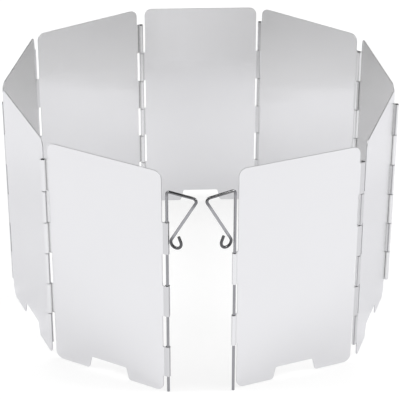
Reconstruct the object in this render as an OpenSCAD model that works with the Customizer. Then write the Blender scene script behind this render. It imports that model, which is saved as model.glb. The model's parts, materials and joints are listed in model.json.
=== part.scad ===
// Folding stove windscreen: nine aluminium plates, hinged edge to edge on steel pins and
// standing in a ring that is open at the front, with a bent-wire rod in each free edge.
// Lengths are in millimetres and angles in degrees. +Z is up, the opening faces -Y.

/* [Plate] */
// Distance between the two hinge axes of one plate
plate_pitch = 84; // [70:0.5:110]
// Height of the plates
plate_h = 153; // [130:1:260]
// Thickness of the sheet
sheet_t = 0.5; // [0.4:0.05:0.8]
// Radius of a plate's four corners
corner_r = 5; // [2:0.5:8]
// Distance from a hinge axis to the plain edge of the sheet
edge_inset = 2.7; // [2.5:0.1:4]

/* [Vent] */
// Height of the air notch in the foot of a plate
vent_h = 8.5; // [5:0.5:20]
// Width of the notch along its top
vent_top_w = 25; // [15:0.5:40]
// How much wider each side of the notch is at the foot
vent_flare = 2; // [1:0.25:5]
// Radius of the two corners inside the notch
vent_top_r = 1.2; // [0.5:0.1:3]
// Radius of the two corners at the foot
vent_foot_r = 2; // [1:0.25:4]

/* [Hinge] */
// Diameter of the wire that the hinge pins and the rods are made of
wire_d = 1.8; // [1.5:0.1:2.4]
// Running clearance between the wire and its knuckles, on the radius
pin_clear = 0.08; // [0.04:0.01:0.1]
// Number of places along an edge, taken in turn by the knuckles of the two leaves
knuckle_places = 6; // [4:2:10]
// Plain length of edge above and below the row of knuckles
knuckle_margin = 11.25; // [9:0.25:20]
// Gap between neighbouring knuckles
knuckle_gap = 0.4; // [0.2:0.1:1]
// How far the sheet is rolled round the pin
roll_turn = 300; // [270:5:305]
// How far the ends of a pin lie inside the row of knuckles
pin_recess = 1.2; // [0.5:0.1:3]

/* [Ring] */
// Bend between plates 1 and 2, front left
bend_1 = 38; // [25:1:50]
// Bend between plates 2 and 3, left side
bend_2 = 33; // [25:1:50]
// Bend between plates 3 and 4, rear left
bend_3 = 47; // [25:1:50]
// Bend between plates 4 and 5, back left
bend_4 = 31; // [25:1:50]
// Bend between plates 5 and 6, back right
bend_5 = 39; // [25:1:50]
// Bend between plates 6 and 7, rear right
bend_6 = 43; // [25:1:50]
// Bend between plates 7 and 8, right side
bend_7 = 28; // [25:1:50]
// Bend between plates 8 and 9, front right
bend_8 = 50; // [25:1:50]

/* [Rods] */
// Drop from the top of the plates to the middle of a rod's arm
arm_drop = 12.7; // [12:0.1:16]
// Radius of the bends at both ends of the arm, at the middle of the wire
elbow_r = 2; // [1.5:0.1:3]
// Lean of the clip's long side from the vertical
clip_lean = 30; // [20:1:35]
// Drop from the arm to the middle of the curl
clip_drop = 32.8; // [25:0.2:45]
// Radius of the curl, at the middle of the wire
curl_r = 3.45; // [2.5:0.05:4.5]
// How far round the curl goes
curl_turn = 233; // [200:1:240]
// Length of the straight tip after the curl
tip_len = 3.6; // [1:0.1:3.8]
// How much the wire swells where it is bent, on the radius
bend_swell = 0.01; // [0.01:0.005:0.03]
// Gap between the curl and the knuckles that it swings past
clip_clear = 0.25; // [0.2:0.05:1]
// Turn of the right rod out of the line of its plate
right_turn = 10; // [0:1:20]

/* [Hidden] */
$fn = 48;

// Sections through a hinge: pin, bore, rolled sheet, and the axis beside the sheet's middle
wire_r = wire_d / 2;
bore_r = wire_r + pin_clear;
knuckle_r = bore_r + sheet_t;
axis_off = knuckle_r - sheet_t / 2;

// Places along an edge, counted from the top
place_h = (plate_h - 2 * knuckle_margin) / knuckle_places;
knuckle_len = place_h - knuckle_gap;
function place_z(i) = plate_h - knuckle_margin - i * place_h + knuckle_gap / 2;

// Plan of the ring. Edge 0 is the free edge of plate 1, edge 9 that of plate 9, and edge e
// between them is the hinge of plates e and e + 1. Plate 5, at the back, lies along X.
bends = [bend_1, bend_2, bend_3, bend_4, bend_5, bend_6, bend_7, bend_8];
function along(a) = [cos(a), sin(a)];
function inward(a) = [sin(a), -cos(a)];
function heading(k) =
    k == 5 ? 0 :
    k > 5 ? heading(k - 1) - bends[k - 2] : heading(k + 1) + bends[k - 1];

// The rolls lie inside the ring on even edges and outside it on odd ones
function side(e) = e % 2 == 0 ? 1 : -1;
function leaf_start(k) =
    k == 5 ? [-plate_pitch / 2, 0] :
    k > 5 ? axis_at(k - 1) - side(k - 1) * axis_off * inward(heading(k)) :
    leaf_end(k) - plate_pitch * along(heading(k));
function leaf_end(k) =
    k == 5 ? [plate_pitch / 2, 0] :
    k > 5 ? leaf_start(k) + plate_pitch * along(heading(k)) :
    axis_at(k) - side(k) * axis_off * inward(heading(k));
function axis_at(e) =
    e >= 5 ? leaf_end(e) + side(e) * axis_off * inward(heading(e)) :
    leaf_start(e + 1) + side(e) * axis_off * inward(heading(e + 1));

// The top place belongs to the second leaf on edges 2, 5 and 8, and to the first on the others.
// The outer free edge of plate 9 has no top knuckle, because the rod bends over there.
function top_on_second(e) = e % 3 == 2;
function has_knuckle(i, e, second) =
    (i % 2 == 1) == (second == top_on_second(e)) && !(e == 9 && i == 1);

// The clip at the top of a rod, in the plane of the rod
arm_z = plate_h - arm_drop;
curl_x = knuckle_r + clip_clear + wire_r + bend_swell + curl_r;
curl_z = arm_z - clip_drop;
long_x = curl_x - curl_r * cos(clip_lean);
long_z = curl_z + curl_r * sin(clip_lean);
corner_x = long_x + (arm_z - long_z) * tan(clip_lean);
elbow_x = corner_x - elbow_r * tan(45 + clip_lean / 2);
long_len = (arm_z - elbow_r - elbow_r * sin(clip_lean) - long_z) / cos(clip_lean);
tip_turn = 180 - clip_lean + curl_turn;

// How far the straight lengths of wire reach into the bends
run_in = 0.15;

// Directions in which the two clips point, and the middle of the whole plan
left_dir = heading(1) + 180;
right_dir = heading(9) + right_turn;
clip_far = elbow_x + elbow_r;
hinge_x = [for (e = [1:8]) axis_at(e)[0]];
hinge_y = [for (e = [1:8]) axis_at(e)[1]];
clip_y = [axis_at(0)[1] + clip_far * sin(left_dir), axis_at(9)[1] + clip_far * sin(right_dir)];
plan_mid = [
    (min(hinge_x) + max(hinge_x)) / 2,
    (min(clip_y) - wire_r - bend_swell + max(hinge_y) + knuckle_r) / 2
];

// The air notch: slanted sides, rounded inside corners and rounded feet
vent_slope = vent_flare / vent_h;
vent_side = sqrt(1 + vent_slope * vent_slope);
vent_top_x = vent_top_w / 2 + vent_slope * vent_top_r - vent_side * vent_top_r;
vent_foot_x = vent_top_w / 2 + vent_flare - vent_slope * vent_foot_r + vent_side * vent_foot_r;
module vent() {
    polygon([
        [-vent_top_w / 2 - vent_flare, 0],
        [vent_top_w / 2 + vent_flare, 0],
        [vent_top_x + vent_top_r / vent_side, vent_h - vent_top_r + vent_slope * vent_top_r / vent_side],
        [vent_top_x, vent_h],
        [-vent_top_x, vent_h],
        [-vent_top_x - vent_top_r / vent_side, vent_h - vent_top_r + vent_slope * vent_top_r / vent_side]
    ]);
    for (s = [0, 1])
        mirror([s, 0]) {
            translate([vent_top_x, vent_h - vent_top_r])
                circle(vent_top_r);
            difference() {
                polygon([
                    [vent_foot_x - vent_foot_r / vent_side, vent_foot_r - vent_slope * vent_foot_r / vent_side],
                    [vent_top_w / 2 + vent_flare - 1, 0],
                    [vent_foot_x, 0]
                ]);
                translate([vent_foot_x, vent_foot_r])
                    circle(vent_foot_r);
            }
        }
}

// Outline of the flat sheet, between its two plain edges
module outline() {
    difference() {
        translate([edge_inset, 0])
            square([plate_pitch - 2 * edge_inset, plate_h]);
        for (s = [0, 1], u = [0, 1])
            translate([plate_pitch / 2, plate_h / 2])
                mirror([s, 0])
                    mirror([0, u])
                        translate([plate_pitch / 2 - edge_inset - corner_r, plate_h / 2 - corner_r])
                            difference() {
                                square(corner_r);
                                circle(corner_r);
                            }
        translate([plate_pitch / 2, 0])
            vent();
    }
}

// One knuckle: a strap from the plain edge, then the same sheet rolled round the pin
module knuckle(s) {
    mirror([0, s > 0 ? 0 : 1, 0]) {
        translate([0, -sheet_t / 2, 0])
            cube([edge_inset, sheet_t, knuckle_len]);
        translate([0, -axis_off, 0])
            rotate([0, 0, 90])
                rotate_extrude(angle = roll_turn)
                    translate([bore_r, 0])
                        square([sheet_t, knuckle_len]);
    }
}

// A row of knuckles along one edge of a leaf, the second leaf of the edge or the first
module knuckle_row(e, second) {
    for (i = [1:knuckle_places])
        if (has_knuckle(i, e, second))
            translate([second ? 0 : plate_pitch, 0, place_z(i)])
                mirror([second ? 0 : 1, 0, 0])
                    knuckle(side(e));
}

// One plate with its rolled edges, in its place in the ring
module plate(k) {
    color("lightgray")
        translate([leaf_start(k)[0] - plan_mid[0], leaf_start(k)[1] - plan_mid[1], 0])
            rotate([0, 0, heading(k)])
                union() {
                    translate([0, sheet_t / 2, 0])
                        rotate([90, 0, 0])
                            linear_extrude(sheet_t)
                                outline();
                    knuckle_row(k - 1, true);
                    knuckle_row(k, false);
                }
}

// The pin of hinge e
module pin(e) {
    color("gray")
        translate([axis_at(e)[0] - plan_mid[0], axis_at(e)[1] - plan_mid[1], knuckle_margin + pin_recess])
            cylinder(r = wire_r, h = plate_h - 2 * knuckle_margin - 2 * pin_recess);
}

// A straight length of wire in the upright plane of a rod, with what it reaches past each end
module wire_run(x, z, lean, len, below, above) {
    translate([x, 0, z])
        rotate([0, lean, 0])
            translate([0, 0, -below])
                cylinder(r = wire_r, h = below + len + above);
}

// A bend of wire in the upright plane of a rod
module wire_bend(x, z, r, from, turn) {
    translate([x, 0, z])
        rotate([90, 0, 0])
            rotate([0, 0, from])
                rotate_extrude(angle = turn)
                    translate([r, 0])
                        circle(wire_r + bend_swell);
}

// A rod: stem through the knuckles, arm, long side, curl and tip
module rod(e, direction) {
    color("dimgray")
        translate([axis_at(e)[0] - plan_mid[0], axis_at(e)[1] - plan_mid[1], 0])
            rotate([0, 0, direction])
                union() {
                    wire_run(0, 0, 0, arm_z - elbow_r, 0, run_in);
                    wire_bend(elbow_r, arm_z - elbow_r, elbow_r, 90, 90);
                    wire_run(elbow_r, arm_z, 90, elbow_x - elbow_r, run_in, run_in);
                    wire_bend(elbow_x, arm_z - elbow_r, elbow_r, -clip_lean, 90 + clip_lean);
                    wire_run(long_x, long_z, clip_lean, long_len, run_in, run_in);
                    wire_bend(curl_x, curl_z, curl_r, 180 - clip_lean, curl_turn);
                    wire_run(
                        curl_x + curl_r * cos(tip_turn), curl_z + curl_r * sin(tip_turn),
                        -tip_turn, tip_len, run_in, 0
                    );
                }
}

module plate_1() { plate(1); }
module plate_2() { plate(2); }
module plate_3() { plate(3); }
module plate_4() { plate(4); }
module plate_5() { plate(5); }
module plate_6() { plate(6); }
module plate_7() { plate(7); }
module plate_8() { plate(8); }
module plate_9() { plate(9); }
module pin_1() { pin(1); }
module pin_2() { pin(2); }
module pin_3() { pin(3); }
module pin_4() { pin(4); }
module pin_5() { pin(5); }
module pin_6() { pin(6); }
module pin_7() { pin(7); }
module pin_8() { pin(8); }
module rod_left() { rod(0, left_dir); }
module rod_right() { rod(9, right_dir); }

plate_1();
plate_2();
plate_3();
plate_4();
plate_5();
plate_6();
plate_7();
plate_8();
plate_9();
pin_1();
pin_2();
pin_3();
pin_4();
pin_5();
pin_6();
pin_7();
pin_8();
rod_left();
rod_right();
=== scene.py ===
# %% [markdown]
# # A folding stove windscreen
# Nine thin aluminium plates stand in a ring round a camping stove. Each hinge is rolled from
# the plates' own edges, with a length of wire as its pin, and a bent wire rod hangs in each
# of the two free edges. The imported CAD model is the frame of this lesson: it says where every
# piece is and how it moves. Blender adds what the frame can't show, which is the sheet as it
# comes from the press, the drawn wire, the finishes, the light and the camera.

import json
import math

import bmesh
import bpy
from mathutils import Matrix, Vector


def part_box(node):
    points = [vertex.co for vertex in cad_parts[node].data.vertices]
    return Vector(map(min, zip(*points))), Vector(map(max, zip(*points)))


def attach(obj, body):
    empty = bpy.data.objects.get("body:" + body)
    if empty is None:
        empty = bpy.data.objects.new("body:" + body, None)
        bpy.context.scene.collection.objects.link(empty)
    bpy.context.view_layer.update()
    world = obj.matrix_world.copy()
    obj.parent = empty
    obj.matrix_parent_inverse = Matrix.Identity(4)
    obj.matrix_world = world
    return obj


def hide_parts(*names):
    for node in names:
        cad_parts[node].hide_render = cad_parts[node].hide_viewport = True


MM = 0.001


def in_mm(length):
    return round(length / MM, 2)


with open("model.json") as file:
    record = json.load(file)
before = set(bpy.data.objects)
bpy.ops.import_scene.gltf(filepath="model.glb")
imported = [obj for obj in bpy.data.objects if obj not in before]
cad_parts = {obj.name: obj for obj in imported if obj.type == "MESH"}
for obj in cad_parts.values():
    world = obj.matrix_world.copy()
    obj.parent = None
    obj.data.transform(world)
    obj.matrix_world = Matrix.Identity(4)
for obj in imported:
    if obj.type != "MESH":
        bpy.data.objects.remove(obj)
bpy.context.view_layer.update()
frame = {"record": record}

# %% [markdown]
# ## Camera
# The picture is a long-lens product shot that looks down into the ring. A camera is easiest
# to place by eye with a Track To constraint, but here its place and its three angles are
# known from the corners of the plates, so its matrix is written from its own axes.

# %% Camera
CAMERA_AT = Vector((-0.0389, -0.9947, 0.6146))
CAMERA_YAW, CAMERA_PITCH, CAMERA_ROLL = 0.0391, 0.50122, 0.00074
LENS_MM, SENSOR_MM = 154.7, 36.0
SEEN_FROM, SEEN_TO = 0.05, 50


def add_object(name, data):
    added = bpy.data.objects.new(name, data)
    bpy.context.scene.collection.objects.link(added)
    return added


ahead = Vector((
    math.sin(CAMERA_YAW) * math.cos(CAMERA_PITCH),
    math.cos(CAMERA_YAW) * math.cos(CAMERA_PITCH),
    -math.sin(CAMERA_PITCH),
))
level = Vector((math.cos(CAMERA_YAW), -math.sin(CAMERA_YAW), 0))
above = level.cross(ahead)
right = math.cos(CAMERA_ROLL) * level + math.sin(CAMERA_ROLL) * above
up = math.cos(CAMERA_ROLL) * above - math.sin(CAMERA_ROLL) * level

camera = add_object("camera", bpy.data.cameras.new("camera"))
own_axes = Matrix((right, up, -ahead)).transposed()
camera.matrix_world = Matrix.Translation(CAMERA_AT) @ own_axes.to_4x4()
camera.data.lens = LENS_MM
camera.data.sensor_width = SENSOR_MM
camera.data.clip_start, camera.data.clip_end = SEEN_FROM, SEEN_TO
bpy.context.scene.camera = camera
print("camera looks down by", round(math.degrees(CAMERA_PITCH), 1), "degrees")

# %% [markdown]
# ## Sizes
# The lengths are those of the frame, in metres. A plate is measured between its two hinge
# lines, where the flat sheet ends and the rolls begin. The two plates that meet in a hinge
# share a row of equal places along it and take turns to fill them with a knuckle.

# %% Sizes
PITCH = 84 * MM
HEIGHT = 153 * MM
SHEET = 0.5 * MM
CORNER_R = 5 * MM
EDGE_INSET = 2.7 * MM
WIRE_R = 0.9 * MM
PIN_CLEARANCE = 0.08 * MM
ROLL_R = WIRE_R + PIN_CLEARANCE + SHEET / 2
ROLL_TURN = math.radians(308)
PLACES = 6
ROW_MARGIN = 11.25 * MM
PLACE_GAP = 0.4 * MM
PLACE_H = (HEIGHT - 2 * ROW_MARGIN) / PLACES
print("a knuckle is", in_mm(PLACE_H - PLACE_GAP), "mm high")
print("and", in_mm(2 * ROLL_R + SHEET), "mm across")

# %% [markdown]
# ## The plan of the ring
# The ring is a chain: each plate starts on the hinge of the one before it and turns by the
# bend between them. A row of parented empties could carry it, but a few lines of vectors give
# the same places as plain numbers. Plate 5 stands at the back, so the chain is laid from there
# to both sides and then shifted onto the frame. On even edges the rolls lie inside the ring
# and on odd ones outside it, which is what lets the plates fold into a flat zigzag.

# %% Plan of the ring
PLATES = range(1, 10)
HINGES = range(1, 9)
BACK, RIGHT_OF_BACK, LEFT_OF_BACK = 5, range(6, 10), range(4, 0, -1)
BEND_DEG = dict(zip(HINGES, (38, 33, 47, 31, 39, 43, 28, 50)))


def side_of(edge):
    """1 where the rolls of an edge lie inside the ring, -1 where they lie outside it."""
    return 1.0 if edge % 2 == 0 else -1.0


def along(angle):
    return Vector((math.cos(angle), math.sin(angle)))


def inward(angle):
    return Vector((math.sin(angle), -math.cos(angle)))


def to_axis(k, edge):
    """From the hinge line of plate k on an edge to the axis of that hinge."""
    return side_of(edge) * ROLL_R * inward(heading[k])


heading = {BACK: 0.0}
for k in RIGHT_OF_BACK:
    heading[k] = heading[k - 1] - math.radians(BEND_DEG[k - 1])
for k in LEFT_OF_BACK:
    heading[k] = heading[k + 1] + math.radians(BEND_DEG[k])

start = {BACK: Vector((-PITCH / 2, 0))}
axis = {
    BACK - 1: start[BACK] + to_axis(BACK, BACK - 1),
    BACK: start[BACK] + PITCH * along(heading[BACK]) + to_axis(BACK, BACK),
}
for k in RIGHT_OF_BACK:
    start[k] = axis[k - 1] - to_axis(k, k - 1)
    axis[k] = start[k] + PITCH * along(heading[k]) + to_axis(k, k)
for k in LEFT_OF_BACK:
    start[k] = axis[k] - to_axis(k, k) - PITCH * along(heading[k])
    axis[k - 1] = start[k] + to_axis(k, k - 1)
print("the chain has", len(start), "plates and", len(axis), "edges")

# %% Shift onto the frame
# The frame's own plan has its middle at the origin, so the box of one pin gives the shift.
low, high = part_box("pin_4")
shift = (low + high).to_2d() / 2 - axis[4]
start = {k: place + shift for k, place in start.items()}
axis = {e: place + shift for e, place in axis.items()}
for e in HINGES:
    low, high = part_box(f"pin_{e}")
    off = ((low + high).to_2d() / 2 - axis[e]).length
    print(f"hinge {e} is {off / MM:.4f} mm from the frame's pin")

# %% [markdown]
# ## Node trees from a few helpers
# A Geometry Nodes tree can be drawn by hand in the editor or built by a script. A script is
# easier to read when each step is one short call, so these helpers make a tree with named
# inputs, wire a value or a socket into a node, and turn a finished object into a plain mesh.

# %% Helpers for nodes
def feed(tree, value, socket):
    if isinstance(value, bpy.types.NodeSocket):
        tree.links.new(value, socket)
    else:
        socket.default_value = value


def step(tree, kind, inputs=(), **settings):
    node = tree.nodes.new(kind)
    for name, value in settings.items():
        setattr(node, name, value)
    for key, value in dict(inputs).items():
        feed(tree, value, node.inputs[key])
    return node


def calc(tree, operation, *values):
    node = step(tree, "ShaderNodeMath", operation=operation)
    for value, socket in zip(values, node.inputs):
        feed(tree, value, socket)
    return node.outputs[0]


print("helpers for single nodes are ready")

# %% Helpers for Geometry Nodes
def geometry_tree(name, inputs):
    tree = bpy.data.node_groups.new(name, "GeometryNodeTree")
    tree.is_modifier = True
    tree.interface.new_socket("Geometry", in_out="INPUT", socket_type="NodeSocketGeometry")
    for label, kind in inputs:
        tree.interface.new_socket(label, in_out="INPUT", socket_type="NodeSocket" + kind)
    tree.interface.new_socket("Geometry", in_out="OUTPUT", socket_type="NodeSocketGeometry")
    given = tree.nodes.new("NodeGroupInput").outputs
    result = tree.nodes.new("NodeGroupOutput").inputs
    return tree, given, result


def use_tree(source, tree, values):
    modifier = source.modifiers.new(tree.name, "NODES")
    modifier.node_group = tree
    identifier = {
        item.name: item.identifier
        for item in tree.interface.items_tree if item.in_out == "INPUT"
    }
    for name, value in values.items():
        modifier[identifier[name]] = value


def plain_piece(source, name, sharp_deg):
    bpy.context.view_layer.update()
    shown = source.evaluated_get(bpy.context.evaluated_depsgraph_get())
    mesh = bpy.data.meshes.new_from_object(shown)
    mesh.name = name
    mesh.shade_smooth()
    mesh.set_sharp_from_angle(angle=math.radians(sharp_deg))
    piece = add_object(name, mesh)
    bpy.data.objects.remove(source)
    return piece


print("helpers for whole trees are ready")

# %% [markdown]
# ## Helpers for the finishes
# Every finish here is bare metal: a Principled shader with Metallic at 1, and noise for what
# changes over the surface. An image could hold the same marks, but noise needs no file and
# stays fine from near. Nearly all values of a noise lie in the middle of its range, so spread
# stretches that middle over the wanted range. The other helpers fade a value in or out over
# a short length, blend two colours and raise a faint bump.

# %% Helpers for the finishes
NOISE_MIDDLE = (0.25, 0.75)


def metal(name):
    material = bpy.data.materials.new(name)
    material.use_nodes = True
    shader = material.node_tree.nodes["Principled BSDF"]
    shader.inputs["Metallic"].default_value = 1.0
    return material, material.node_tree, shader.inputs


def noise(tree, vector, scale, detail, rough=0.55):
    return step(
        tree, "ShaderNodeTexNoise",
        {"Vector": vector, "Scale": scale, "Detail": detail, "Roughness": rough},
    ).outputs["Fac"]


def remap(tree, value, first, last, low_end, high_end, curve):
    limits = {"From Min": first, "From Max": last, "To Min": low_end, "To Max": high_end}
    return step(
        tree, "ShaderNodeMapRange", {"Value": value, **limits}, interpolation_type=curve,
    ).outputs["Result"]


def spread(tree, value, low_end, high_end):
    return remap(tree, value, *NOISE_MIDDLE, low_end, high_end, "LINEAR")


def fade(tree, value, first, last, low_end, high_end):
    return remap(tree, value, first, last, low_end, high_end, "SMOOTHSTEP")


def blend_colour(tree, factor, first, second):
    """A Mix node has sockets for every kind of data. Those for colours are 6, 7 and 2."""
    ramp = step(tree, "ShaderNodeMix", data_type="RGBA")
    for value, socket in ((factor, 0), (first, 6), (second, 7)):
        feed(tree, (*value, 1) if isinstance(value, tuple) else value, ramp.inputs[socket])
    return ramp.outputs[2]


def bump(tree, height, strength, depth):
    return step(
        tree, "ShaderNodeBump", {"Height": height, "Strength": strength, "Distance": depth},
    ).outputs["Normal"]


print("helpers for the finishes are ready")

# %% [markdown]
# ## The finish of the sheet
# The plates are mill-finished aluminium: a soft mirror with the fine upright lines that the
# rolls of the mill leave. A flat grey would look like card, so the metal keeps a pale base
# colour and shows its surroundings. Lines smear a reflection across their own direction, and
# that is what Anisotropic does, with its tangent along a UV map that holds the flat blank. The
# same noise, stretched upright, draws the larger lines: a faint bump, a change of roughness
# and a change of colour, each so small that only a near view shows it. The roughness also has
# broad, faint patches.

# %% Finish of the sheet
BLANK_UV = "blank"
ROLLING_LINES = (1200, 10, 1)
PATCH_SCALE, HAZE_SCALE = 28.0, 9.0
LINE_ROUGHNESS, PATCH_ROUGHNESS = 0.04, (0.18, 0.2)
LINE_SHARE = 0.65
SHEET_DARK, SHEET_PALE = (0.799, 0.798, 0.792), (0.873, 0.872, 0.865)
LINE_BUMP, LINE_DEPTH = 0.2, 0.05 * MM

sheet_finish, tree, sockets = metal("satin_sheet")
sockets["Anisotropic"].default_value = 1.0
across = step(tree, "ShaderNodeTangent", direction_type="UV_MAP", uv_map=BLANK_UV)
feed(tree, across.outputs["Tangent"], sockets["Tangent"])
flat = step(tree, "ShaderNodeUVMap", uv_map=BLANK_UV).outputs["UV"]
stretched = step(tree, "ShaderNodeMapping", {"Vector": flat, "Scale": ROLLING_LINES})
lines = noise(tree, stretched.outputs["Vector"], 1.0, detail=4.0, rough=0.6)
patches = noise(tree, flat, PATCH_SCALE, detail=2.0)
haze = noise(tree, flat, HAZE_SCALE, detail=1.0)

from_lines = spread(tree, lines, -LINE_ROUGHNESS, LINE_ROUGHNESS)
from_patches = spread(tree, patches, *PATCH_ROUGHNESS)
feed(tree, calc(tree, "ADD", from_lines, from_patches), sockets["Roughness"])
from_haze = calc(tree, "MULTIPLY", haze, 1 - LINE_SHARE)
shade = calc(tree, "MULTIPLY_ADD", lines, LINE_SHARE, from_haze)
bare = blend_colour(tree, shade, SHEET_DARK, SHEET_PALE)
feed(tree, bump(tree, lines, LINE_BUMP, LINE_DEPTH), sockets["Normal"])
print("made", sheet_finish.name, "with", len(tree.nodes), "nodes so far")

# %% [markdown]
# ## Painted shade on the tabs
# The tabs get a painted shade in their colour: a little darker on the flat strap, dark in the
# first part of the bend, and back to the bare sheet round the roll. Such shade is often painted by
# hand. Here the UV map already tells how far a point lies past the plain edge, so one Map
# Range for each zone paints it, and it stays in its place whatever the roll does.

# %% Painted shade on the tabs
# The dark colour of the tabs is a painted shade: a little on the flat strap, most early in the
# bend.
TAB_SHADE_COLOUR = (0.3, 0.3, 0.305)
STRAP_SHADE, CREASE_SHADE = 0.3, 0.85
STRAP_STARTS = (0.45 * MM, 0.8 * MM)
CREASE_STARTS = (EDGE_INSET + 1.0 * MM, EDGE_INSET + 1.5 * MM)
TAB_SHADE_ENDS = (EDGE_INSET + 1.6 * MM, EDGE_INSET + 2.2 * MM)

across_blank = step(tree, "ShaderNodeSeparateXYZ", {0: flat}).outputs["X"]
before_right = calc(tree, "MINIMUM", across_blank, PITCH - EDGE_INSET)
on_plate = calc(tree, "MAXIMUM", before_right, EDGE_INSET)
past_edge = calc(tree, "ABSOLUTE", calc(tree, "SUBTRACT", across_blank, on_plate))
on_strap = fade(tree, past_edge, *STRAP_STARTS, 0.0, STRAP_SHADE)
in_crease = fade(tree, past_edge, *CREASE_STARTS, 0.0, CREASE_SHADE)
shade_reach = fade(tree, past_edge, *TAB_SHADE_ENDS, 1.0, 0.0)
# The mask of the painted shade on the tabs, which fades out partway round the roll.
painted_tab_shade = calc(tree, "MULTIPLY", shade_reach, calc(tree, "MAXIMUM", on_strap, in_crease))
feed(tree, blend_colour(tree, painted_tab_shade, bare, TAB_SHADE_COLOUR), sockets["Base Color"])
print("the painted shade ends", in_mm(TAB_SHADE_ENDS[1]), "mm past the plain edge")

# %% [markdown]
# ## The finish of the cut edges
# The press shears the sheet, and a sheared edge is torn: darker than the faces and rough in
# fine grains. It could be left in the finish of the faces, but the edge draws the outline of
# every plate, so it gets a finish of its own.

# %% Finish of the cut edges
EDGE_COLOUR = (0.56, 0.56, 0.57)
EDGE_ROUGHNESS = (0.3, 0.5)
TEAR_SCALE = 2500.0

edge_finish, tree, sockets = metal("sheared_edge")
sockets["Base Color"].default_value = (*EDGE_COLOUR, 1)
flat = step(tree, "ShaderNodeUVMap", uv_map=BLANK_UV).outputs["UV"]
tear = noise(tree, flat, TEAR_SCALE, detail=2.0)
feed(tree, spread(tree, tear, *EDGE_ROUGHNESS), sockets["Roughness"])
print("made", edge_finish.name)

# %% [markdown]
# ## The outline of a blank
# A press cuts each plate as a flat blank: a rounded rectangle with an air notch in its foot
# and a row of tabs along each side, small fillets at their roots. It could be drawn as a
# curve and filled. A list of points is simpler, because every part of the outline is an arc or
# a line and the places of the tabs change from edge to edge.

# %% Air notch
VENT_H, VENT_TOP, VENT_FLARE = 8.5 * MM, 25 * MM, 2 * MM
VENT_TOP_R, VENT_FOOT_R, VENT_STEPS = 1.2 * MM, 2 * MM, 8


def arc(centre, radius, first_deg, last_deg, steps):
    points = []
    for i in range(steps + 1):
        turn = math.radians(first_deg + (last_deg - first_deg) * i / steps)
        points.append((centre[0] + radius * math.cos(turn), centre[1] + radius * math.sin(turn)))
    return points


def vent_half():
    """Right half of the notch, from the foot up to its top."""
    lean = math.degrees(math.atan2(VENT_FLARE, VENT_H))
    slope = VENT_FLARE / VENT_H
    slant = math.hypot(1, slope)
    top_x = VENT_TOP / 2 + slope * VENT_TOP_R - slant * VENT_TOP_R
    foot_x = VENT_TOP / 2 + VENT_FLARE - slope * VENT_FOOT_R + slant * VENT_FOOT_R
    foot = arc((foot_x, VENT_FOOT_R), VENT_FOOT_R, 270, 180 + lean, VENT_STEPS)
    top = arc((top_x, VENT_H - VENT_TOP_R), VENT_TOP_R, lean, 90, VENT_STEPS)
    return foot + top


print("the notch is", in_mm(2 * vent_half()[0][0]), "mm wide at the foot")

# %% Sides of a blank
TAB_ROOT_R, ROOT_STEPS = 0.4 * MM, 4
CORNER_STEPS = 10


def tab_places(edge, second):
    """Lowest and highest point of each tab on an edge, for its second leaf or its first. The
    top place is the second leaf's on edges 2, 5 and 8, and it is empty on edge 9."""
    odd = second == (edge % 3 == 2)
    found = []
    for i in range(1, PLACES + 1):
        if (i % 2 == 1) == odd and not (edge == 9 and i == 1):
            foot = HEIGHT - ROW_MARGIN - i * PLACE_H + PLACE_GAP / 2
            found.append((foot, foot + PLACE_H - PLACE_GAP))
    return sorted(found)


def edge_line(tabs):
    """One side of a blank going up, from the bottom corner to the top one, as distance in
    from the hinge line, height, and whether a tab starts there."""
    corner_in, root_in = EDGE_INSET + CORNER_R, EDGE_INSET - TAB_ROOT_R
    foot = arc((0, CORNER_R), CORNER_R, -90, 0, CORNER_STEPS)
    head = arc((0, HEIGHT - CORNER_R), CORNER_R, 0, 90, CORNER_STEPS)
    points = [(corner_in - x, z, False) for x, z in foot]
    for low_z, high_z in tabs:
        below = arc((root_in, low_z - TAB_ROOT_R), TAB_ROOT_R, 0, 90, ROOT_STEPS)
        over = arc((root_in, high_z + TAB_ROOT_R), TAB_ROOT_R, 270, 360, ROOT_STEPS)
        points += [(x, z, False) for x, z in below[:-1]]
        points.append((*below[-1], True))
        points += [(x, z, False) for x, z in over]
    return points + [(corner_in - x, z, False) for x, z in head]


def blank_outline(k):
    right_side = [(PITCH - x, z, tab) for x, z, tab in edge_line(tab_places(k, False))]
    left_side = edge_line(tab_places(k - 1, True))
    half = vent_half()
    notch_left = [(PITCH / 2 - x, z, False) for x, z in half]
    notch_right = [(PITCH / 2 + x, z, False) for x, z in reversed(half)]
    return notch_left + notch_right + right_side + left_side[::-1]


print("the outline of the first blank has", len(blank_outline(1)), "points")

# %% [markdown]
# ## One plate as a flat blank
# The outline is filled by one face, and every tab is a strip of narrow faces, so that it can
# bend later. Solidify gives the sheet its thickness and Bevel breaks its edges while
# everything is still flat, which is far more robust than bevelling finished rolls. The UV map
# is each point's place on the flat sheet, and the finishes read it after the roll.

# %% Flat blank
ROLL_STEPS = 30
EDGE_BREAK, BREAK_SEGMENTS, BREAK_OVER_DEG = 0.07 * MM, 2, 50


def add_tab(bm, root, hinge_x, outward):
    row = root
    for i in range(ROLL_STEPS + 1):
        x = hinge_x + outward * ROLL_R * ROLL_TURN * i / ROLL_STEPS
        far = [bm.verts.new((x, 0, vert.co.z)) for vert in row]
        bm.faces.new((row[0], far[0], far[1], row[1]))
        row = far


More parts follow.
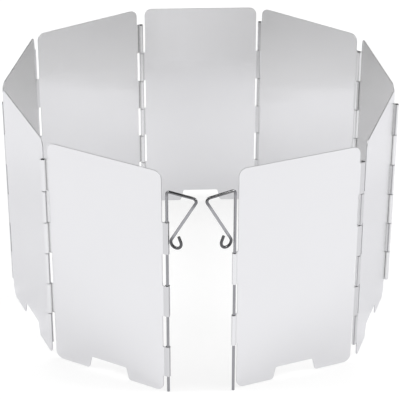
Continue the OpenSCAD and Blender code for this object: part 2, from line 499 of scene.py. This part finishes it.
def flat_mesh(k):
    bm = bmesh.new()
    outline = blank_outline(k)
    corners = [bm.verts.new((x, 0, z)) for x, z, _ in outline]
    bm.faces.new(corners)
    for i, (x, _, starts_tab) in enumerate(outline):
        if starts_tab and x > PITCH / 2:
            add_tab(bm, (corners[i], corners[i + 1]), PITCH, 1)
        elif starts_tab:
            add_tab(bm, (corners[i], corners[i - 1]), 0, -1)
    bmesh.ops.recalc_face_normals(bm, faces=bm.faces[:])
    layer = bm.loops.layers.uv.new(BLANK_UV)
    for face in bm.faces:
        for loop in face.loops:
            loop[layer].uv = (loop.vert.co.x, loop.vert.co.z)
    mesh = bpy.data.meshes.new(f"blank_{k}")
    bm.to_mesh(mesh)
    bm.free()
    return mesh


def flat_blank(k):
    mesh = flat_mesh(k)
    blank = add_object(mesh.name, mesh)
    thick = blank.modifiers.new("sheet", "SOLIDIFY")
    thick.thickness, thick.offset = SHEET, 0
    broken = blank.modifiers.new("edges", "BEVEL")
    broken.width, broken.segments = EDGE_BREAK, BREAK_SEGMENTS
    broken.limit_method, broken.angle_limit = "ANGLE", math.radians(BREAK_OVER_DEG)
    broken.use_clamp_overlap = False
    return blank


print("a roll takes", in_mm(ROLL_R * ROLL_TURN), "mm of tab")

# %% [markdown]
# ## Rolling the tabs
# A Simple Deform modifier can bend a whole object, but here only what lies past a hinge line
# bends, to one side or the other. In Geometry Nodes that is one formula: the length past the
# line, divided by the radius of the roll, is the angle round the pin. The height above the
# middle of the sheet is added to the radius, so the thickness and the broken edges come out
# true. The same tree turns the plate by its heading and puts it in its place in the ring. The
# cut edges are told by their normals while the blank is flat, so Capture Attribute notes them
# before the bend and the second Set Material uses the note after it.

# %% Formula of the roll
roll_tree, given, result = geometry_tree("roll_the_tabs", [
    ("Pitch", "Float"), ("Roll Radius", "Float"),
    ("First Side", "Float"), ("Second Side", "Float"),
    ("Heading", "Float"), ("Start", "Vector"),
    ("Sheet Finish", "Material"), ("Edge Finish", "Material"),
])


def roll(operation, *values):
    return calc(roll_tree, operation, *values)


position = step(roll_tree, "GeometryNodeInputPosition").outputs[0]
x, y, z = step(roll_tree, "ShaderNodeSeparateXYZ", {0: position}).outputs
radius = given["Roll Radius"]
on_second = roll("GREATER_THAN", x, roll("MULTIPLY", given["Pitch"], 0.5))
change = roll("SUBTRACT", given["Second Side"], given["First Side"])
side = roll("ADD", given["First Side"], roll("MULTIPLY", on_second, change))
away = roll("SUBTRACT", roll("MULTIPLY", on_second, 2.0), 1.0)
kept = roll("MAXIMUM", roll("MINIMUM", x, given["Pitch"]), 0.0)
turn = roll("DIVIDE", roll("ABSOLUTE", roll("SUBTRACT", x, kept)), radius)
reach = roll("ADD", radius, roll("MULTIPLY", side, y))
outward = roll("MULTIPLY", away, roll("MULTIPLY", reach, roll("SINE", turn)))
lift = roll("SUBTRACT", roll("MULTIPLY", reach, roll("COSINE", turn)), radius)
rolled = step(roll_tree, "ShaderNodeCombineXYZ", {
    0: roll("ADD", kept, outward), 1: roll("MULTIPLY", side, lift), 2: z,
}).outputs[0]
turned = step(
    roll_tree, "ShaderNodeVectorRotate", {"Vector": rolled, "Angle": given["Heading"]},
    rotation_type="Z_AXIS",
).outputs[0]
placed = step(
    roll_tree, "ShaderNodeVectorMath", {0: turned, 1: given["Start"]}, operation="ADD",
).outputs[0]
print("the formula takes", len(roll_tree.nodes), "nodes")

# %% Finishes after the roll
FACE_NORMAL = 0.97

facing = step(roll_tree, "GeometryNodeInputNormal").outputs[0]
off_face = step(roll_tree, "ShaderNodeSeparateXYZ", {0: facing}).outputs["Y"]
cut_edge = roll("LESS_THAN", roll("ABSOLUTE", off_face), FACE_NORMAL)
noted = step(roll_tree, "GeometryNodeCaptureAttribute", domain="FACE")
noted.capture_items.new("FLOAT", "Cut Edge")
feed(roll_tree, given["Geometry"], noted.inputs["Geometry"])
feed(roll_tree, cut_edge, noted.inputs["Cut Edge"])
bent = step(roll_tree, "GeometryNodeSetPosition", {
    "Geometry": noted.outputs["Geometry"], "Position": placed})
real = step(roll_tree, "GeometryNodeRealizeInstances", {0: bent.outputs[0]})
whole = step(roll_tree, "GeometryNodeSetMaterial", {
    "Geometry": real.outputs[0], "Material": given["Sheet Finish"]})
rim = step(roll_tree, "GeometryNodeSetMaterial", {
    "Geometry": whole.outputs[0], "Selection": noted.outputs["Cut Edge"],
    "Material": given["Edge Finish"]})
feed(roll_tree, rim.outputs[0], result[0])
print("tree", roll_tree.name, "has", len(roll_tree.nodes), "nodes")

# %% [markdown]
# ## Nine plates
# All nine plates come from one press and one tool, but they differ in the places of their
# tabs, in the sides that their edges are rolled to and in where they stand. Copies of one mesh
# could not show that, so each plate is its own blank with its own values in the tree. It rides
# on the body that its node of the frame belongs to, and stands in for that node.

# %% Nine plates
SHEET_SHARP_DEG = 18

body_of = {
    node: body
    for body, nodes in frame["record"]["behaviour"]["bodies"].items() for node in nodes
}
for k in PLATES:
    blank = flat_blank(k)
    use_tree(blank, roll_tree, {
        "Pitch": PITCH, "Roll Radius": ROLL_R,
        "First Side": side_of(k - 1), "Second Side": side_of(k),
        "Heading": heading[k], "Start": (*start[k], 0.0),
        "Sheet Finish": sheet_finish, "Edge Finish": edge_finish,
    })
    sheet = plain_piece(blank, f"sheet_{k}", SHEET_SHARP_DEG)
    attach(sheet, body_of[f"plate_{k}"])
    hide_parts(f"plate_{k}")
    print(sheet.name, "has", len(sheet.data.polygons), "faces and rides on", body_of[f"plate_{k}"])

# %% [markdown]
# ## Drawn wire
# Pins and rods are the same drawn steel wire, smoother and darker than the sheet. Drawing
# leaves faint lines along it. A noise on Object coordinates would cut straight through the
# bends, so two attributes from the node tree, the way along the wire and the way round it,
# carry the lines through every one of them.

# %% Finish of the wire
WAY_ALONG, WAY_ROUND = "wire_along", "wire_round"
LINES_ROUND, LINES_ALONG = 6.0, 60.0
CLOUD_SCALE = 160.0
DRAWN_ROUGHNESS, CLOUD_ROUGHNESS = 0.03, (0.08, 0.14)
WIRE_DARK, WIRE_PALE = (0.33, 0.332, 0.34), (0.45, 0.452, 0.46)
DRAWN_BUMP, DRAWN_DEPTH = 0.06, 0.02 * MM

wire_finish, tree, sockets = metal("drawn_wire")
way_along = step(tree, "ShaderNodeAttribute", attribute_name=WAY_ALONG).outputs["Fac"]
way_round = step(tree, "ShaderNodeAttribute", attribute_name=WAY_ROUND).outputs["Fac"]
circle = calc(tree, "MULTIPLY", way_round, 2 * math.pi)
on_wire = step(tree, "ShaderNodeCombineXYZ", {
    0: calc(tree, "MULTIPLY", calc(tree, "COSINE", circle), LINES_ROUND),
    1: calc(tree, "MULTIPLY", calc(tree, "SINE", circle), LINES_ROUND),
    2: calc(tree, "MULTIPLY", way_along, LINES_ALONG),
}).outputs[0]
drawn_lines = noise(tree, on_wire, 1.0, detail=3.0)
in_place = step(tree, "ShaderNodeTexCoord").outputs["Object"]
clouds = noise(tree, in_place, CLOUD_SCALE, detail=2.0)

from_lines = spread(tree, drawn_lines, -DRAWN_ROUGHNESS, DRAWN_ROUGHNESS)
from_clouds = spread(tree, clouds, *CLOUD_ROUGHNESS)
feed(tree, calc(tree, "ADD", from_lines, from_clouds), sockets["Roughness"])
bright = blend_colour(tree, drawn_lines, WIRE_DARK, WIRE_PALE)
feed(tree, bump(tree, drawn_lines, DRAWN_BUMP, DRAWN_DEPTH), sockets["Normal"])
print("made", wire_finish.name, "with", len(tree.nodes), "nodes so far")

# %% [markdown]
# ## Painted shade on the wire
# The arm and the curl of a clip get a dark painted shade in their colour, and the stem is
# made a little darker. The way along the wire tells these lengths apart without any mask. A pin
# is shorter than a rod's stem, so it is darkened like one and never reaches the shaded lengths.

# %% Painted shade on the wire
ARM_DROP = 12.7 * MM
ARM_Z = HEIGHT - ARM_DROP
# The dark colour is a painted shade on the arm and the curl, and it also darkens the stem a
# little.
WIRE_SHADE_COLOUR = (0.07, 0.07, 0.072)
STEM_DARKENING, ARM_SHADE, CURL_SHADE = 0.18, 0.6, 0.85
ARM_STARTS = (ARM_Z - 5 * MM, ARM_Z)
ARM_ENDS = (ARM_Z + 20 * MM, ARM_Z + 27 * MM)
CURL_STARTS = (ARM_Z + 48 * MM, ARM_Z + 55 * MM)

in_stem = fade(tree, way_along, *ARM_STARTS, STEM_DARKENING, 0.0)
past_elbow = fade(tree, way_along, *ARM_STARTS, 0.0, ARM_SHADE)
in_arm = calc(tree, "MULTIPLY", past_elbow, fade(tree, way_along, *ARM_ENDS, 1.0, 0.0))
in_curl = fade(tree, way_along, *CURL_STARTS, 0.0, CURL_SHADE)
# The painted shade on the arm and the curl, together with the slight darkening of the stem.
stem_tone_and_shade = calc(tree, "MAXIMUM", in_stem, calc(tree, "MAXIMUM", in_arm, in_curl))
feed(tree, blend_colour(tree, stem_tone_and_shade, bright, WIRE_SHADE_COLOUR), sockets["Base Color"])
print("the arm starts", in_mm(ARM_Z), "mm along a rod")

# %% [markdown]
# ## Bending wire along a path
# A wire maker's drawing is a list of corners, each with the radius of its bend. The path here
# is the same: a poly curve whose points carry their bend radius. Fillet Curve rounds the
# corners, a circle swept along the result is the wire, and the ends taper over a short
# length, as a cropped and tumbled end does. A curve's own Bevel Depth would sweep the circle
# too, but it could not store the two attributes that the finish reads.

# %% Tree that makes wire
wire_tree, given, result = geometry_tree("bend_the_wire", [
    ("Wire Radius", "Float"), ("Bend Steps", "Int"), ("Wire Sides", "Int"),
    ("Cut End", "Float"), ("Wire Finish", "Material"),
])


def note_on_curve(curve, name, value):
    return step(
        wire_tree, "GeometryNodeStoreNamedAttribute",
        {"Geometry": curve, "Name": name, "Value": value}, data_type="FLOAT", domain="POINT",
    ).outputs[0]


rounded = step(wire_tree, "GeometryNodeFilletCurve", {
    "Curve": given["Geometry"], "Count": given["Bend Steps"], "Limit Radius": True,
    "Radius": step(wire_tree, "GeometryNodeInputRadius").outputs[0]}, mode="POLY")
even = step(wire_tree, "GeometryNodeSetCurveRadius", {"Curve": rounded.outputs[0], "Radius": 1.0})
ends = step(wire_tree, "GeometryNodeCurveEndpointSelection", {"Start Size": 1, "End Size": 1})
cut = step(wire_tree, "GeometryNodeSetCurveRadius", {
    "Curve": even.outputs[0], "Selection": ends.outputs[0], "Radius": given["Cut End"]})
ring = step(wire_tree, "GeometryNodeCurvePrimitiveCircle", {
    "Resolution": given["Wire Sides"], "Radius": given["Wire Radius"]})
measured = step(wire_tree, "GeometryNodeSplineParameter").outputs
swept = step(wire_tree, "GeometryNodeCurveToMesh", {
    "Curve": note_on_curve(cut.outputs[0], WAY_ALONG, measured["Length"]),
    "Profile Curve": note_on_curve(ring.outputs[0], WAY_ROUND, measured["Factor"]),
    "Fill Caps": True})
real = step(wire_tree, "GeometryNodeRealizeInstances", {0: swept.outputs[0]})
dressed = step(wire_tree, "GeometryNodeSetMaterial", {
    "Geometry": real.outputs[0], "Material": given["Wire Finish"]})
feed(wire_tree, dressed.outputs[0], result[0])
print("tree", wire_tree.name, "has", len(wire_tree.nodes), "nodes")

# %% Wire along its corners
CUT_LEN, CUT_END = 0.2 * MM, 0.78
BEND_STEPS, WIRE_SIDES, WIRE_SHARP_DEG = 24, 28, 30


def wire_piece(name, corners):
    """corners are (place, bend radius) from one end of the wire to the other."""
    (first, _), (last, _) = corners[0], corners[-1]
    after_first = first + (corners[1][0] - first).normalized() * CUT_LEN
    before_last = last + (corners[-2][0] - last).normalized() * CUT_LEN
    route = [(first, 0), (after_first, 0), *corners[1:-1], (before_last, 0), (last, 0)]
    curve = bpy.data.curves.new(name + "_path", "CURVE")
    curve.dimensions = "3D"
    spline = curve.splines.new("POLY")
    spline.points.add(len(route) - 1)
    for point, (at, bend) in zip(spline.points, route):
        point.co = (*at, 1)
        point.radius = bend
    source = add_object(curve.name, curve)
    use_tree(source, wire_tree, {
        "Wire Radius": WIRE_R, "Bend Steps": BEND_STEPS, "Wire Sides": WIRE_SIDES,
        "Cut End": CUT_END, "Wire Finish": wire_finish,
    })
    return plain_piece(source, name, WIRE_SHARP_DEG)


print("a wire tapers to", CUT_END, "of its radius over the last", in_mm(CUT_LEN), "mm")

# %% [markdown]
# ## Eight hinge pins
# A pin is the shortest path there is, one straight line on the axis of its hinge, a little
# shorter than the row of knuckles round it. A cylinder would do for the shape, but the tree
# gives the pins the same finish and the same cropped ends as the rods.

# %% Eight hinge pins
PIN_RECESS = 1.2 * MM
ends_z = (ROW_MARGIN + PIN_RECESS, HEIGHT - ROW_MARGIN - PIN_RECESS)
for e in HINGES:
    pin = wire_piece(f"hinge_pin_{e}", [(Vector((*axis[e], end_z)), 0) for end_z in ends_z])
    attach(pin, body_of[f"pin_{e}"])
    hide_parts(f"pin_{e}")
    print(pin.name, "size in mm", [in_mm(side) for side in pin.dimensions])

# %% [markdown]
# ## The two clip rods
# A rod's stem hangs in the knuckles of a free edge. At the top the wire turns over into an
# arm, comes back down beside the stem and ends in a curl, so that it can clip round the
# folded plates. It could be drawn by hand as a Bezier curve, but corners with a bend radius
# give the true arcs of a bending tool. The curl turns by more than half a circle, which one
# corner can't do, so it is two corners whose bends meet halfway between them.

# %% Corners of a rod
ELBOW_R = 2 * MM
CLIP_LEAN = math.radians(30)
CLIP_CLEARANCE, BEND_SWELL = 0.25 * MM, 0.01 * MM
CURL_R = 3.45 * MM
CURL_TURN = math.radians(233)
CURL_X = ROLL_R + SHEET / 2 + CLIP_CLEARANCE + WIRE_R + BEND_SWELL + CURL_R
CURL_DROP = 32.8 * MM
CURL_Z = ARM_Z - CURL_DROP
TIP_LEN = 3.6 * MM


def on_curl(angle):
    return Vector((CURL_X + CURL_R * math.cos(angle), CURL_Z + CURL_R * math.sin(angle)))


def curl_heading(angle):
    return Vector((-math.sin(angle), math.cos(angle)))


def rod_corners():
    """Corners of the rod's wire in its upright plane, as distance out and height."""
    long_x = CURL_X - CURL_R * math.cos(CLIP_LEAN)
    long_z = CURL_Z + CURL_R * math.sin(CLIP_LEAN)
    corner_x = long_x + (ARM_Z - long_z) * math.tan(CLIP_LEAN)
    half = CURL_TURN / 2
    tangent = CURL_R * math.tan(half / 2)
    angle = math.pi - CLIP_LEAN
    first_corner = on_curl(angle) + tangent * curl_heading(angle)
    second_corner = on_curl(angle + half) + tangent * curl_heading(angle + half)
    tip = on_curl(angle + CURL_TURN) + TIP_LEN * curl_heading(angle + CURL_TURN)
    return [
        (Vector((0, 0)), 0), (Vector((0, ARM_Z)), ELBOW_R), (Vector((corner_x, ARM_Z)), ELBOW_R),
        (first_corner, CURL_R), (second_corner, CURL_R), (tip, 0),
    ]


print("the arm of a rod is", in_mm(rod_corners()[2][0].x), "mm long")

# %% Two clip rods
RIGHT_ROD_TURN = math.radians(10)

for name, edge, pointing in (
    ("left", 0, heading[1] + math.pi),
    ("right", 9, heading[9] + RIGHT_ROD_TURN),
):
    out = along(pointing)
    corners = [(Vector((*(axis[edge] + out * at.x), at.y)), bend) for at, bend in rod_corners()]
    rod = wire_piece(f"clip_rod_{name}", corners)
    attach(rod, body_of[f"rod_{name}"])
    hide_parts(f"rod_{name}")
    low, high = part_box(f"rod_{name}")
    print(rod.name, "size in mm", [in_mm(side) for side in rod.dimensions],
          "frame", [in_mm(side) for side in high - low])

# %% [markdown]
# ## Floor
# Satin metal is a picture of its surroundings, so the surroundings come before any lamp.
# Every plate stands upright and is seen from above, so what it reflects is mostly the floor.
# Plain paper that is white behind the part would leave no greys in the metal, so this paper
# asks Light Path who looks at it. To the camera it is nearly white with a faint shadow kept,
# in the metal it is a little lower and a touch cool, and to everything else it is plain pale
# paper.

# %% Floor
FLOOR_HALF, FLOOR_DROP = 6.0, 0.2 * MM
PLAIN_PAPER = (0.8, 0.8, 0.8, 1)
PAPER_IN_METAL = {"tint": (0.995, 0.995, 1.03), "shade": 0.42, "glow": 0.52}
PAPER_IN_VIEW = {"tint": (1, 1, 1), "shade": 0.3, "glow": 0.74}

floor_corners = [
    (x * FLOOR_HALF, y * FLOOR_HALF, 0) for x, y in ((-1, -1), (1, -1), (1, 1), (-1, 1))
]
floor_mesh = bpy.data.meshes.new("floor")
floor_mesh.from_pydata(floor_corners, [], [(0, 1, 2, 3)])
floor = add_object("floor", floor_mesh)
floor.location.z = -FLOOR_DROP


def empty_tree(owner):
    owner.use_nodes = True
    owner.node_tree.nodes.clear()
    return owner.node_tree


def lifted_paper(tree, tint, shade, glow):
    matt = step(tree, "ShaderNodeBsdfDiffuse", {"Color": (*(shade * part for part in tint), 1)})
    light = step(tree, "ShaderNodeEmission", {"Color": (*tint, 1), "Strength": glow})
    return step(tree, "ShaderNodeAddShader", {0: matt.outputs[0], 1: light.outputs[0]}).outputs[0]


def mix_shaders(tree, factor, first, second):
    return step(tree, "ShaderNodeMixShader", {0: factor, 1: first, 2: second}).outputs[0]


paper = bpy.data.materials.new("pale_floor")
tree = empty_tree(paper)
rays = step(tree, "ShaderNodeLightPath").outputs
mirrored = calc(tree, "MAXIMUM", rays["Is Glossy Ray"], rays["Is Transmission Ray"])
plain = step(tree, "ShaderNodeBsdfDiffuse", {"Color": PLAIN_PAPER}).outputs[0]
in_metal = mix_shaders(tree, mirrored, plain, lifted_paper(tree, **PAPER_IN_METAL))
in_view = mix_shaders(
    tree, rays["Is Camera Ray"], in_metal, lifted_paper(tree, **PAPER_IN_VIEW))
step(tree, "ShaderNodeOutputMaterial", {"Surface": in_view})
floor_mesh.materials.append(paper)
print("the floor is", 2 * FLOOR_HALF, "m wide")

# %% [markdown]
# ## World
# The room is white low down and dark overhead. The level parts of the wire and the ends of
# the rolls see the dark ceiling and get their dark strokes from it. A picture of a studio
# could be wrapped round the scene, but two tones with one soft step between them are easier
# to place. Light that the floor scatters has no use for them, so it meets one even grey.

# %% World
WHITE = (1, 1, 1, 1)
EVEN_GREY = 0.22
WALL_FADES = (0.14, 0.36)
WALL_LEVEL, CEILING_LEVEL = 1.0, 0.06

world = bpy.data.worlds.new("room")
bpy.context.scene.world = world
tree = empty_tree(world)
rays = step(tree, "ShaderNodeLightPath").outputs
looked_at = calc(tree, "MAXIMUM", rays["Is Camera Ray"], rays["Is Glossy Ray"])
looked_at = calc(tree, "MAXIMUM", looked_at, rays["Is Transmission Ray"])
not_scattered = calc(tree, "LESS_THAN", rays["Diffuse Depth"], 0.5)
seen = calc(tree, "MULTIPLY", looked_at, not_scattered)
toward = step(tree, "ShaderNodeTexCoord").outputs["Generated"]
upward = step(tree, "ShaderNodeSeparateXYZ", {0: toward}).outputs["Z"]
wall = fade(tree, upward, *WALL_FADES, WALL_LEVEL, CEILING_LEVEL)
even = step(tree, "ShaderNodeBackground", {"Color": WHITE, "Strength": EVEN_GREY}).outputs[0]
room = step(tree, "ShaderNodeBackground", {"Color": WHITE, "Strength": wall}).outputs[0]
step(tree, "ShaderNodeOutputWorld", {"Surface": mix_shaders(tree, seen, even, room)})
bpy.context.scene.view_settings.view_transform = "Standard"
print("the lower room is white and the ceiling is dark")

# %% [markdown]
# ## Softboxes
# Point lamps would make small hard spots in satin metal, so the lamps are square softboxes.
# A wide one hangs overhead. One on each side reaches over the plates to the far side of the
# floor inside the ring, which the back plates show as a paler zone across them.

# %% Softboxes
AIM = Vector((0, 0, 0.07))


def softbox(name, at, width, watts):
    lamp = bpy.data.lights.new(name, "AREA")
    lamp.shape, lamp.size, lamp.energy = "SQUARE", width, watts
    box = add_object(name, lamp)
    box.location = at
    box.rotation_euler = (AIM - Vector(at)).to_track_quat("-Z", "Y").to_euler()
    print(name, "softbox gives", watts, "W")


softbox("top", at=(0.0, 0.1, 1.9), width=1.2, watts=14.6)
softbox("left", at=(-1.25, 0.05, 1.2), width=0.55, watts=12.8)
softbox("right", at=(1.25, -0.15, 1.2), width=0.55, watts=14.5)
